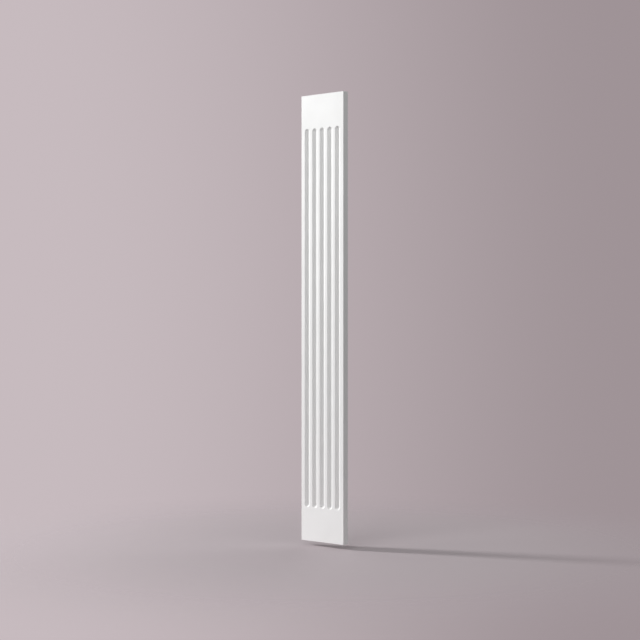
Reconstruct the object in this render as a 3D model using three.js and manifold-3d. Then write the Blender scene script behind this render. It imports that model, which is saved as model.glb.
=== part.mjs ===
// Fluted pilaster shaft: one flat moulded board with a row of stopped flutes between
// a plain block at its foot and another at its head. It is fixed by its flat back.
//
// Millimetres, +Z up. The front faces -Y. The origin is the middle of the flat back,
// which lies in the plane Y = 0.
import * as THREE from "three";
import { mergeVertices, toCreasedNormals } from "three/addons/utils/BufferGeometryUtils.js";
import Module from "manifold-3d";

const wasm = await Module();
wasm.setup();

// Driving dimensions of the board
const shaftHeight = 2000;
const shaftThickness = 30;
const arrisRadius = 1; // easing of the two upright front edges

// Driving dimensions of the flutes
const fluteCount = 5;
const fluteWidth = 30; // across the mouth of one hollow
const fluteDepth = 8; // from the face to the bottom of the hollow
const landWidth = 15; // flat strip left between two flutes
const marginWidth = 20; // flat strip between an outer flute and the board's side
const footBlockHeight = 150; // plain face below the flutes
const headBlockHeight = 150; // plain face above the flutes

// How finely the curves are cut
const hollowSteps = 16; // across one flute
const stopSteps = 32; // round the full circle of a flute's rounded end
const arrisSteps = 2; // pairs of facets round one eased edge
const creaseAngle = THREE.MathUtils.degToRad(30); // sharper edges than this stay sharp

// How far the flute cutters stand out in front of the face
const cutterReach = 5;

// The coating's look
const primerWhite = 0xf3f3f1;
const primerRoughness = 0.5;

// Places worked out from the driving dimensions
const flutePitch = fluteWidth + landWidth;
const flutedWidth = fluteCount * fluteWidth + (fluteCount - 1) * landWidth;
const shaftWidth = flutedWidth + 2 * marginWidth;
const footEnd = -shaftHeight / 2;
const headEnd = shaftHeight / 2;
const frontFace = -shaftThickness;
const mouthRadius = fluteWidth / 2;
const lowerStop = footEnd + footBlockHeight + mouthRadius;
const upperStop = headEnd - headBlockHeight - mouthRadius;

// A closed three.js geometry as a solid that can be joined and cut.
function solidOf(geometry) {
  const bare = geometry.clone();
  bare.deleteAttribute("normal");
  bare.deleteAttribute("uv");
  const merged = mergeVertices(bare);
  const mesh = new wasm.Mesh({
    numProp: 3,
    vertProperties: new Float32Array(merged.attributes.position.array),
    triVerts: new Uint32Array(merged.index.array),
  });
  return new wasm.Manifold(mesh);
}

// A solid as a three.js geometry, with its flat faces flat and its curves smooth.
function geometryOf(solid) {
  const mesh = solid.getMesh();
  const geometry = new THREE.BufferGeometry();
  geometry.setAttribute("position", new THREE.BufferAttribute(mesh.vertProperties, 3));
  geometry.setIndex(new THREE.BufferAttribute(mesh.triVerts, 1));
  return toCreasedNormals(geometry, creaseAngle);
}

// The board is its plan, seen from above, raised through the whole height. The plan is
// square at the back corners and eased by a quarter circle at the two front ones.
function boardSolid() {
  const side = shaftWidth / 2;
  const easedSide = side - arrisRadius;
  const easedFront = frontFace + arrisRadius;
  const quarterTurn = Math.PI / 2;
  const plan = new THREE.Shape();
  plan.moveTo(side, 0);
  plan.lineTo(-side, 0);
  plan.lineTo(-side, easedFront);
  plan.absarc(-easedSide, easedFront, arrisRadius, -Math.PI, -quarterTurn);
  plan.lineTo(easedSide, frontFace);
  plan.absarc(easedSide, easedFront, arrisRadius, -quarterTurn, 0);
  plan.closePath();
  const board = new THREE.ExtrudeGeometry(plan, {
    depth: shaftHeight,
    bevelEnabled: false,
    curveSegments: arrisSteps,
  });
  return solidOf(board.translate(0, 0, footEnd));
}

// Half of a flute's section, from the lip at its right side to the bottom of the hollow
// in the middle: an arc of the circle through both lips and the bottom.
function hollowArc() {
  const radius = (mouthRadius ** 2 + fluteDepth ** 2) / (2 * fluteDepth);
  const centre = frontFace + fluteDepth - radius;
  const lipAngle = Math.atan2(mouthRadius, radius - fluteDepth);
  const points = [new THREE.Vector2(mouthRadius, frontFace)];
  const halfSteps = hollowSteps / 2;
  for (let step = 1; step < halfSteps; step += 1) {
    const angle = lipAngle * (1 - step / halfSteps);
    const across = radius * Math.sin(angle);
    const inward = centre + radius * Math.cos(angle);
    points.push(new THREE.Vector2(across, inward));
  }
  points.push(new THREE.Vector2(0, frontFace + fluteDepth));
  return points;
}

// The straight run of a flute: its whole section, closed in front of the face, raised
// from one rounded end to the other.
function straightRun(arc) {
  const outside = frontFace - cutterReach;
  const leftArc = arc.slice(0, -1).map((point) => new THREE.Vector2(-point.x, point.y));
  const section = new THREE.Shape([
    new THREE.Vector2(-mouthRadius, outside),
    new THREE.Vector2(mouthRadius, outside),
    ...arc,
    ...leftArc.reverse(),
  ]);
  const run = new THREE.ExtrudeGeometry(section, {
    depth: upperStop - lowerStop,
    bevelEnabled: false,
  });
  return solidOf(run.translate(0, 0, lowerStop));
}

// The rounded end of a flute: the same half section turned about an axis square to the
// face, so that the flute stops in a half circle as a round cutter leaves it.
function roundedStop(arc, height) {
  const outside = frontFace - cutterReach;
  const outline = [
    new THREE.Vector2(0, outside),
    new THREE.Vector2(mouthRadius, outside),
    ...arc,
  ];
  const stop = new THREE.LatheGeometry(outline, stopSteps);
  return solidOf(stop.translate(0, 0, height));
}

// The board with one flute after another cut into its front face.
function shaftSolid() {
  const arc = hollowArc();
  const flute = straightRun(arc).add(roundedStop(arc, lowerStop)).add(roundedStop(arc, upperStop));
  const firstFlute = (-(fluteCount - 1) * flutePitch) / 2;
  let shaft = boardSolid();
  for (let index = 0; index < fluteCount; index += 1) {
    shaft = shaft.subtract(flute.translate(firstFlute + index * flutePitch, 0, 0));
  }
  return shaft;
}

// Factory-primed white coating over the whole moulding
function primedWhite() {
  return new THREE.MeshStandardMaterial({
    color: primerWhite,
    roughness: primerRoughness,
    metalness: 0,
  });
}

const pilasterShaft = new THREE.Mesh(geometryOf(shaftSolid()), primedWhite());
pilasterShaft.name = "pilaster_shaft";

const pilaster = new THREE.Group();
pilaster.add(pilasterShaft);

export default pilaster;
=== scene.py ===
import math

import bmesh
import bpy
import numpy as np
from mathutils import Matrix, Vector


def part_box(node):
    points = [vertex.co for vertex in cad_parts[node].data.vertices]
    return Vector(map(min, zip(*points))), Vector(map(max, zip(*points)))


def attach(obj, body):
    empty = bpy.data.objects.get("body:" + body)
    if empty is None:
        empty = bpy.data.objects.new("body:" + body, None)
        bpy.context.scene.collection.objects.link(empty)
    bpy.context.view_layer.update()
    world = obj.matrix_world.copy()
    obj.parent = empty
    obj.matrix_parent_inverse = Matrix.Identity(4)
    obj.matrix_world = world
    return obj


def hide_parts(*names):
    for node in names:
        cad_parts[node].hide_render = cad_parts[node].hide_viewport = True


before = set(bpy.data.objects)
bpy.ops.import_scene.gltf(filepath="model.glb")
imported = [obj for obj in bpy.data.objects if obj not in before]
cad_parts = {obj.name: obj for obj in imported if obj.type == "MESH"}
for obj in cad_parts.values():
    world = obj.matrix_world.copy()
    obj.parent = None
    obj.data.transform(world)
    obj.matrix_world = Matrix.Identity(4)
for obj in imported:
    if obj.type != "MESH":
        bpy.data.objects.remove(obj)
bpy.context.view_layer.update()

# The shaft moulding. One flat board of rigid foam, cast in a mould with its stopped flutes
# and fixed with glue on its flat back. A casting has no sharp edges, so its upright and end
# edges and the lips of its flutes are slightly rounded. All sizes are in metres.
lowest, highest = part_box("pilaster_shaft")
front_face, foot_end = lowest[1], lowest[2]
right_side, back_face, head_end = highest
flute_count = 5
flute_width = 0.030
flute_depth = 0.008
land_width = 0.015
block_height = 0.150
front_arris = 0.0010
back_arris = 0.0003
lip_radius = 0.0006
tight_strip = 0.0003  # the narrow flat strip that keeps an edge's rounding to itself
sewing_reach = 2e-6  # points of two surfaces that are closer than this become one

flute_pitch = flute_width + land_width
lower_stop = foot_end + block_height + flute_width / 2
upper_stop = head_end - block_height - flute_width / 2
flat_side = right_side - front_arris - tight_strip
flat_head = head_end - front_arris - tight_strip

hollow_steps = 14
lip_steps = 6
run_steps = 40
corner_steps = 8  # steps in an eighth of a full turn
land_steps = 3
arris_steps = 5
side_steps = 4


def flute_section():
    """Half a flute's section as rows of distance from its middle and depth below the face.

    The hollow is an arc of the circle through both lips and the bottom. The lip is a small
    circle below the face that touches the face and touches the hollow's circle from outside,
    so its centre is as far from the hollow's centre as both radii together.
    """
    mouth = flute_width / 2
    hollow_radius = (mouth**2 + flute_depth**2) / (2 * flute_depth)
    centre_rise = hollow_radius - flute_depth
    lip_centre = math.sqrt((hollow_radius + lip_radius) ** 2 - (centre_rise + lip_radius) ** 2)
    lip_angle = math.atan2(lip_centre, centre_rise + lip_radius)
    swing = np.linspace(0, lip_angle, hollow_steps + 1)
    hollow = [hollow_radius * np.sin(swing), hollow_radius * np.cos(swing) - centre_rise]
    ease = np.linspace(lip_angle, 0, lip_steps + 1)[1:]
    lip = [lip_centre - lip_radius * np.sin(ease), lip_radius - lip_radius * np.cos(ease)]
    strip = [[lip_centre + tight_strip], [0]]
    return np.hstack([hollow, lip, strip])


def round_the_flute():
    """The closed path round a flute: the spine's height, the direction out, and p.

    The spine is the straight line between the centres of the two rounded ends. Up the right
    side the direction is square to it, round the upper end it turns half a circle about the
    spine's end, and the left side and the lower end are the same turned by half a circle.
    p runs from 0 to 1 round an end and is 0 on a straight side.
    """
    climb = np.linspace(lower_stop, upper_stop, run_steps + 1)[:-1]
    turn = np.linspace(0, 1, 4 * corner_steps + 1)[:-1]
    p = np.concatenate([np.zeros(climb.size), turn])
    spine = np.concatenate([climb, np.full(turn.size, upper_stop)])
    angle = np.pi * np.concatenate([p, p + 1])
    spine = np.concatenate([spine, lower_stop + upper_stop - spine])
    return spine, np.cos(angle), np.sin(angle), np.tile(p, 2)


def flute_cell(middle, left, right):
    """One flute with its share of the flat face, out to the upright lines left and right.

    The section is carried along the path round the flute: each point is the spine's point
    plus its distance from the middle along the direction out. From the last ring the face
    runs flat, in even steps, to the cell's border. Round an end, the first quarter of the
    turn climbs the side, the middle half crosses the end edge, and the last comes down.
    """
    across, depth = flute_section()
    spine, out_x, out_z, p = round_the_flute()
    x = middle + out_x[:, None] * across
    z = spine[:, None] + out_z[:, None] * across
    y = np.broadcast_to(front_face + depth, x.shape)

    upper = np.arange(p.size) < p.size // 2
    near = np.where(upper, right, left)
    far = np.where(upper, left, right)
    end = np.where(upper, flat_head, -flat_head)
    border_x = near + (far - near) * np.clip(2 * p - 0.5, 0, 1)
    border_z = spine + (end - spine) * np.clip(4 * np.minimum(p, 1 - p), 0, 1)
    step = np.linspace(0, 1, land_steps + 1)[1:]
    land_x = x[:, -1:] + (border_x[:, None] - x[:, -1:]) * step
    land_z = z[:, -1:] + (border_z[:, None] - z[:, -1:]) * step
    land_y = np.full(land_x.shape, front_face)
    return np.stack([np.hstack([x, land_x]), np.hstack([y, land_y]), np.hstack([z, land_z])], axis=-1)


def cell_borders():
    """The upright lines between the flutes' cells: midway on each land, and the flat's sides."""
    inner = (np.arange(1, flute_count) - flute_count / 2) * flute_pitch
    return np.concatenate([[-flat_side], inner, [flat_side]])


def border_points():
    """Where the cells' borders have points: across the end edges, and up the sides."""
    borders = cell_borders()
    share = np.linspace(0, 1, 2 * corner_steps + 1)[:-1]
    across = (borders[:-1, None] + (borders[1:] - borders[:-1])[:, None] * share).ravel()
    across = np.append(across, flat_side)
    end = np.linspace(upper_stop, flat_head, corner_steps + 1)[1:]
    climb = np.linspace(lower_stop, upper_stop, run_steps + 1)
    return across, np.concatenate([-end[::-1], climb, end])


def shell():
    """The edges and sides: the board's edge profile carried round its rectangular outline.

    An anchor walks round the rectangle where the front edges' rounding starts. The profile
    leaves it square to the rectangle, or turns a quarter circle about a corner. It goes a
    quarter circle over the front edge, straight back along the side, a smaller quarter
    circle over the back edge, and a little way in over the back.
    """
    across, up = border_points()
    side, head = flat_side + tight_strip, flat_head + tight_strip
    quarter = np.linspace(0, np.pi / 2, arris_steps + 1)
    ones = np.ones(arris_steps + 1)
    anchor_x = np.concatenate([across, side * ones, np.full(up.size, side), side * ones])
    anchor_z = np.concatenate([np.full(across.size, head), head * ones, up[::-1], -head * ones])
    over_head = np.full(across.size, np.pi / 2)
    heading = np.concatenate([over_head, np.pi / 2 - quarter, np.zeros(up.size), -quarter])
    anchor_x = np.concatenate([anchor_x, -anchor_x])
    anchor_z = np.concatenate([anchor_z, -anchor_z])
    heading = np.concatenate([heading, heading + np.pi])

    side_start = front_face + front_arris
    side_stop = back_face - back_arris
    front_reach = front_arris * np.sin(quarter)
    front_y = side_start - front_arris * np.cos(quarter)
    side_y = np.linspace(side_start + tight_strip, side_stop - tight_strip, side_steps + 1)
    side_reach = np.full(side_y.size, front_arris)
    back_reach = front_arris - back_arris * (1 - np.cos(quarter))
    back_y = side_stop + back_arris * np.sin(quarter)
    last_reach = front_arris - back_arris - tight_strip
    reach = np.concatenate([front_reach, side_reach, back_reach, [last_reach]])
    x = anchor_x[:, None] + np.cos(heading)[:, None] * reach
    z = anchor_z[:, None] + np.sin(heading)[:, None] * reach
    flat_x = np.clip(anchor_x, -flat_side, flat_side)[:, None]
    flat_z = np.clip(anchor_z, -flat_head, flat_head)[:, None]
    y = np.concatenate([[front_face], front_y, side_y, back_y, [back_face, back_face]])
    y = np.broadcast_to(y, (anchor_x.size, y.size))
    return np.stack([np.hstack([flat_x, x, flat_x]), y, np.hstack([flat_z, z, flat_z])], axis=-1)


def back_sheet():
    """The flat back: one grid with the same points along its edges as the front face."""
    across, up = border_points()
    x, z = np.meshgrid(across, up, indexing="ij")
    return np.stack([x, np.full(x.shape, back_face), z], axis=-1)


def quads(rows, columns, closed, first):
    """The faces of a grid of points, where the last row joins the first if it is closed.

    A face joins a point, the same point of the following row, and the points after these two.
    """
    row = np.arange(rows if closed else rows - 1)[:, None]
    column = np.arange(columns - 1)
    following = (row + 1) % rows
    corners = [
        row * columns + column,
        following * columns + column,
        following * columns + column + 1,
        row * columns + column + 1,
    ]
    return first + np.stack(np.broadcast_arrays(*corners), axis=-1).reshape(-1, 4)


borders = cell_borders()
flute_middles = (np.arange(flute_count) - (flute_count - 1) / 2) * flute_pitch
cells = [flute_cell(*lines) for lines in zip(flute_middles, borders[:-1], borders[1:])]
grids = [(grid, True) for grid in cells + [shell()]] + [(back_sheet(), False)]
points = np.concatenate([grid.reshape(-1, 3) for grid, closed in grids])
starts = np.cumsum([0] + [grid.shape[0] * grid.shape[1] for grid, closed in grids])
faces = np.concatenate([
    quads(grid.shape[0], grid.shape[1], closed, first)
    for (grid, closed), first in zip(grids, starts)
])
shaft_mesh = bpy.data.meshes.new("shaft_moulding")
shaft_mesh.from_pydata(points, [], faces)

sewn = bmesh.new()
sewn.from_mesh(shaft_mesh)
bmesh.ops.remove_doubles(sewn, verts=sewn.verts, dist=sewing_reach)
bmesh.ops.recalc_face_normals(sewn, faces=sewn.faces)
sewn.to_mesh(shaft_mesh)
sewn.free()
shaft_mesh.shade_smooth()
shaft_moulding = bpy.data.objects.new("shaft_moulding", shaft_mesh)
bpy.context.collection.objects.link(shaft_moulding)

# The finish is a white primer, sprayed over the whole casting. It dries to a smooth film, a
# little satin, with faint clouds, long soft waves and an orange peel. It lies full on the face
# and drier, so duller, in the hollows, where its colour is also painted a little darker as
# shade. The back is then sanded up and down, which leaves it dull.
primer_white = (0.862, 0.862, 0.857, 1)
# The thin colour is also painted into the flutes' depths as shade.
thin_and_shaded_primer = (0.838, 0.838, 0.831, 1)
sanded_white = (0.82, 0.797, 0.782, 1)
sanded_cream = (0.795, 0.762, 0.738, 1)
paint_ior = 1.48
noise_octaves = (("Cloud", 4), ("Wave", 1), ("Peel", 3))
cloud_range = (0.35, 0.65)  # the cloud noise that is a full film, and the one that is thin
hollow_share = 0.5  # how far a hollow's depth shifts the film to its thin colour, as painted shade
peel_share = 0.3  # how much of the change in gloss follows the peel


def sprayed_film_group():
    """The node group of a sprayed film of paint.

    Clouds are a coarse noise: where the film lies thin it has the thin colour and is duller.
    Waves and peel are finer noises that lift the surface by their heights, in metres. Streak
    scales the pattern's height, so less than 1 draws it out upright. The last input, from 0 to 1,
    is how deep a point lies in a hollow: it makes the film duller and paints its colour towards
    the thin colour as shade.
    """
    group = bpy.data.node_groups.new("sprayed_film", "ShaderNodeTree")
    sockets = group.interface.new_socket
    for name in ("Full Colour", "Thin Colour"):
        sockets(name, in_out="INPUT", socket_type="NodeSocketColor")
    for name in (
        "Low Roughness", "High Roughness", "Cloud Scale", "Wave Scale", "Wave Height",
        "Peel Scale", "Peel Height", "Streak", "Hollow Depth",
    ):
        sockets(name, in_out="INPUT", socket_type="NodeSocketFloat")
    sockets("Colour", in_out="OUTPUT", socket_type="NodeSocketColor")
    sockets("Roughness", in_out="OUTPUT", socket_type="NodeSocketFloat")
    sockets("Normal", in_out="OUTPUT", socket_type="NodeSocketVector")
    node = group.nodes.new
    link = group.links.new
    given = node("NodeGroupInput").outputs
    stretch = node("ShaderNodeCombineXYZ")
    stretch.inputs["X"].default_value = 1
    stretch.inputs["Y"].default_value = 1
    link(given["Streak"], stretch.inputs["Z"])
    pattern = node("ShaderNodeVectorMath")
    pattern.operation = "MULTIPLY"
    link(node("ShaderNodeTexCoord").outputs["Object"], pattern.inputs[0])
    link(stretch.outputs["Vector"], pattern.inputs[1])
    noises = {}
    for name, octaves in noise_octaves:
        noise = node("ShaderNodeTexNoise")
        noise.inputs["Detail"].default_value = octaves
        link(pattern.outputs["Vector"], noise.inputs["Vector"])
        link(given[name + " Scale"], noise.inputs["Scale"])
        noises[name] = noise.outputs["Fac"]

    clouds = node("ShaderNodeMapRange")
    clouds.inputs["From Min"].default_value, clouds.inputs["From Max"].default_value = cloud_range
    link(noises["Cloud"], clouds.inputs["Value"])
    # The hollow's depth adds painted shade to the thin film of the clouds, and dulls it.
    thinness_and_shade = node("ShaderNodeMath")
    thinness_and_shade.operation = "MULTIPLY_ADD"
    thinness_and_shade.use_clamp = True
    thinness_and_shade.inputs[1].default_value = hollow_share
    link(given["Hollow Depth"], thinness_and_shade.inputs[0])
    link(clouds.outputs["Result"], thinness_and_shade.inputs[2])
    tone = node("ShaderNodeMix")
    tone.data_type = "RGBA"
    link(thinness_and_shade.outputs["Value"], tone.inputs["Factor"])
    link(given["Full Colour"], tone.inputs["A"])
    link(given["Thin Colour"], tone.inputs["B"])
    dullness = node("ShaderNodeMix")
    dullness.inputs["Factor"].default_value = peel_share
    link(thinness_and_shade.outputs["Value"], dullness.inputs["A"])
    link(noises["Peel"], dullness.inputs["B"])
    gloss = node("ShaderNodeMapRange")
    link(dullness.outputs["Result"], gloss.inputs["Value"])
    link(given["Low Roughness"], gloss.inputs["To Min"])
    link(given["High Roughness"], gloss.inputs["To Max"])
    waves = node("ShaderNodeBump")
    link(noises["Wave"], waves.inputs["Height"])
    link(given["Wave Height"], waves.inputs["Distance"])
    peel = node("ShaderNodeBump")
    link(noises["Peel"], peel.inputs["Height"])
    link(given["Peel Height"], peel.inputs["Distance"])
    link(waves.outputs["Normal"], peel.inputs["Normal"])

    result = node("NodeGroupOutput").inputs
    link(tone.outputs["Result"], result["Colour"])
    link(gloss.outputs["Result"], result["Roughness"])
    link(peel.outputs["Normal"], result["Normal"])
    return group


film_group = sprayed_film_group()


def sprayed_material(name, values):
    """A material with the sprayed film's group and its values, and that group's node."""
    material = bpy.data.materials.new(name)
    material.use_nodes = True
    coat = material.node_tree.nodes["Principled BSDF"]
    coat.inputs["IOR"].default_value = paint_ior
    film = material.node_tree.nodes.new("ShaderNodeGroup")
    film.node_tree = film_group
    for socket, value in values.items():
        film.inputs[socket].default_value = value
    link = material.node_tree.links.new
    link(film.outputs["Colour"], coat.inputs["Base Color"])
    link(film.outputs["Roughness"], coat.inputs["Roughness"])
    link(film.outputs["Normal"], coat.inputs["Normal"])
    return material, film


white_primer, primer_film = sprayed_material("white_primer", {
    "Full Colour": primer_white,
    "Thin Colour": thin_and_shaded_primer,
    "Low Roughness": 0.42,
    "High Roughness": 0.60,
    "Cloud Scale": 7,
    "Wave Scale": 45,
    "Wave Height": 0.00005,
    "Peel Scale": 420,
    "Peel Height": 0.00016,
    "Streak": 1,
})
primer_nodes = white_primer.node_tree.nodes
primer_link = white_primer.node_tree.links.new
# How deep a point lies in a flute, from 0 on the face to 1 at the bottom, darkens its colour as
# painted shade and dulls the film.
primer_place = primer_nodes.new("ShaderNodeTexCoord")
primer_axes = primer_nodes.new("ShaderNodeSeparateXYZ")
below_face = primer_nodes.new("ShaderNodeMapRange")
below_face.inputs["From Min"].default_value = front_face
below_face.inputs["From Max"].default_value = front_face + flute_depth
primer_link(primer_place.outputs["Object"], primer_axes.inputs["Vector"])
primer_link(primer_axes.outputs["Y"], below_face.inputs["Value"])
primer_link(below_face.outputs["Result"], primer_film.inputs["Hollow Depth"])

sanded_back, sanded_film = sprayed_material("sanded_back", {
    "Full Colour": sanded_white,
    "Thin Colour": sanded_cream,
    "Low Roughness": 0.62,
    "High Roughness": 0.80,
    "Cloud Scale": 40,
    "Wave Scale": 160,
    "Wave Height": 0.00014,
    "Peel Scale": 900,
    "Peel Height": 0.00010,
    "Streak": 0.06,
})
shaft_mesh.materials.append(white_primer)
shaft_mesh.materials.append(sanded_back)
centres = np.empty(3 * len(shaft_mesh.polygons))
shaft_mesh.polygons.foreach_get("center", centres)
on_back = centres.reshape(-1, 3)[:, 1] > back_face - sewing_reach
shaft_mesh.polygons.foreach_set("material_index", on_back.astype(np.int32))

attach(shaft_moulding, "root")
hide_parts("pilaster_shaft")

# The studio floor. It isn't part of the object. It is a pale painted disc a little below the
# shaft's foot, and the two don't touch because the shaft is held at its back. The paint fades
# out towards the rim, so that no edge shows, and it is on the upper side only.
floor_gap = 0.022
floor_reach = 2.2
full_paint = 0.35  # the paint is whole out to this distance from the middle
floor_sides = 96
floor_rings = 11
floor_colour = (0.45, 0.393, 0.413, 1)
floor_roughness = 0.8


def floor_disc():
    """A flat disc as spokes of points: the way round by the distance from the middle."""
    turn = np.linspace(0, 2 * np.pi, floor_sides + 1)[:-1, None]
    distance = np.linspace(0, floor_reach, floor_rings + 1)[1:]
    x = np.cos(turn) * distance
    y = np.sin(turn) * distance
    return np.stack([x, y, np.full(x.shape, foot_end - floor_gap)], axis=-1)


# Every face looks up, and one more closes the disc inside its first ring.
floor_faces = quads(floor_sides, floor_rings, True, 0)[:, ::-1].tolist()
floor_faces.append((np.arange(floor_sides) * floor_rings).tolist())
floor_mesh = bpy.data.meshes.new("studio_floor")
floor_mesh.from_pydata(floor_disc().reshape(-1, 3), [], floor_faces)
floor_paint = bpy.data.materials.new("floor_paint")
floor_paint.use_nodes = True
floor_nodes = floor_paint.node_tree.nodes
floor_link = floor_paint.node_tree.links.new
floor_coat = floor_nodes["Principled BSDF"]
floor_coat.inputs["Base Color"].default_value = floor_colour
floor_coat.inputs["Roughness"].default_value = floor_roughness
floor_place = floor_nodes.new("ShaderNodeTexCoord")
floor_level = floor_nodes.new("ShaderNodeVectorMath")
floor_level.operation = "MULTIPLY"
floor_level.inputs[1].default_value = (1, 1, 0)
from_middle = floor_nodes.new("ShaderNodeVectorMath")
from_middle.operation = "LENGTH"
paint_left = floor_nodes.new("ShaderNodeMapRange")
paint_left.interpolation_type = "SMOOTHSTEP"
paint_left.inputs["From Min"].default_value = full_paint
paint_left.inputs["From Max"].default_value = floor_reach
paint_left.inputs["To Min"].default_value = 1
paint_left.inputs["To Max"].default_value = 0
floor_side = floor_nodes.new("ShaderNodeNewGeometry")
upper_paint = floor_nodes.new("ShaderNodeMix")
upper_paint.inputs["B"].default_value = 0
floor_link(floor_place.outputs["Object"], floor_level.inputs[0])
floor_link(floor_level.outputs["Vector"], from_middle.inputs[0])
floor_link(from_middle.outputs["Value"], paint_left.inputs["Value"])
floor_link(floor_side.outputs["Backfacing"], upper_paint.inputs["Factor"])
floor_link(paint_left.outputs["Result"], upper_paint.inputs["A"])
floor_link(upper_paint.outputs["Result"], floor_coat.inputs["Alpha"])
floor_mesh.materials.append(floor_paint)
studio_floor = bpy.data.objects.new("studio_floor", floor_mesh)
bpy.context.collection.objects.link(studio_floor)

# The studio's light. A key lamp far to the left, higher than the head, rakes across the face so
# that each flute's left half is in shade. Broad soft boxes in front, to the left and to the
# right fill the shade, and another lights the back. All are turned to the shaft's middle.
studio_lamps = (
    # name, place, width, height, watts
    ("key_lamp", (-5.37, -2.30, 1.70), 0.77, 0.77, 352),
    ("front_box", (1.0, -5.0, 3.2), 4.0, 3.0, 128),
    ("left_box", (-4.0, -4.0, 0.6), 3.0, 3.0, 44),
    ("right_box", (5.0, -1.8, 2.8), 4.0, 4.0, 55),
    ("back_box", (0.0, 5.0, 3.0), 7.0, 4.0, 130),
)
for name, place, width, height, watts in studio_lamps:
    lamp = bpy.data.lights.new(name, "AREA")
    lamp.shape = "RECTANGLE"
    lamp.size = width
    lamp.size_y = height
    lamp.energy = watts
    stand = bpy.data.objects.new(name, lamp)
    bpy.context.collection.objects.link(stand)
    stand.location = place
    stand.rotation_euler = (-Vector(place)).to_track_quat("-Z", "Y").to_euler()

# The air of the studio. The tone seen behind the shaft is plain and changes softly with the
# direction, from left to right: it is painted lighter on the left and darker on the right, as
# light falling from the left. Only the camera sees it: the shaft gets the dim even tone.
even_tone = (0.119, 0.120, 0.121, 1)
behind_left = (0.571, 0.497, 0.521, 1)
behind_right = (0.347, 0.292, 0.309, 1)
behind_span = (-0.80, -0.50)  # the direction's X where the left tone ends and the right begins
air = bpy.data.worlds.new("studio_air")
air.use_nodes = True
air_nodes = air.node_tree.nodes
air_link = air.node_tree.links.new
even_light = air_nodes["Background"]
even_light.inputs["Color"].default_value = even_tone
way = air_nodes.new("ShaderNodeTexCoord")
way_axes = air_nodes.new("ShaderNodeSeparateXYZ")
rightwards = air_nodes.new("ShaderNodeMapRange")
rightwards.interpolation_type = "SMOOTHSTEP"
rightwards.inputs["From Min"].default_value, rightwards.inputs["From Max"].default_value = behind_span
behind_tone = air_nodes.new("ShaderNodeMix")
behind_tone.data_type = "RGBA"
behind_tone.inputs["A"].default_value = behind_left
behind_tone.inputs["B"].default_value = behind_right
behind = air_nodes.new("ShaderNodeBackground")
ray = air_nodes.new("ShaderNodeLightPath")
seen_or_lit = air_nodes.new("ShaderNodeMixShader")
air_link(way.outputs["Generated"], way_axes.inputs["Vector"])
air_link(way_axes.outputs["X"], rightwards.inputs["Value"])
air_link(rightwards.outputs["Result"], behind_tone.inputs["Factor"])
air_link(behind_tone.outputs["Result"], behind.inputs["Color"])
air_link(ray.outputs["Is Camera Ray"], seen_or_lit.inputs["Fac"])
air_link(even_light.outputs["Background"], seen_or_lit.inputs[1])
air_link(behind.outputs["Background"], seen_or_lit.inputs[2])
air_link(seen_or_lit.outputs["Shader"], air_nodes["World Output"].inputs["Surface"])
bpy.context.scene.world = air
bpy.context.scene.view_settings.view_transform = "Standard"

# The camera. It stands well to the right of the shaft, level and at about its mid height, and
# looks a little further to the left, so the shaft's level edges run together towards the left.
camera_place = (4.5987, -5.1965, -0.0086)
camera_turn = math.radians(41.753)
camera_lens = 87.28
camera_reach = 100
camera = bpy.data.cameras.new("camera")
camera.lens = camera_lens
camera.clip_end = camera_reach
view = bpy.data.objects.new("camera", camera)
bpy.context.collection.objects.link(view)
view.location = camera_place
view.rotation_euler = (math.pi / 2, 0, camera_turn)
bpy.context.scene.camera = view
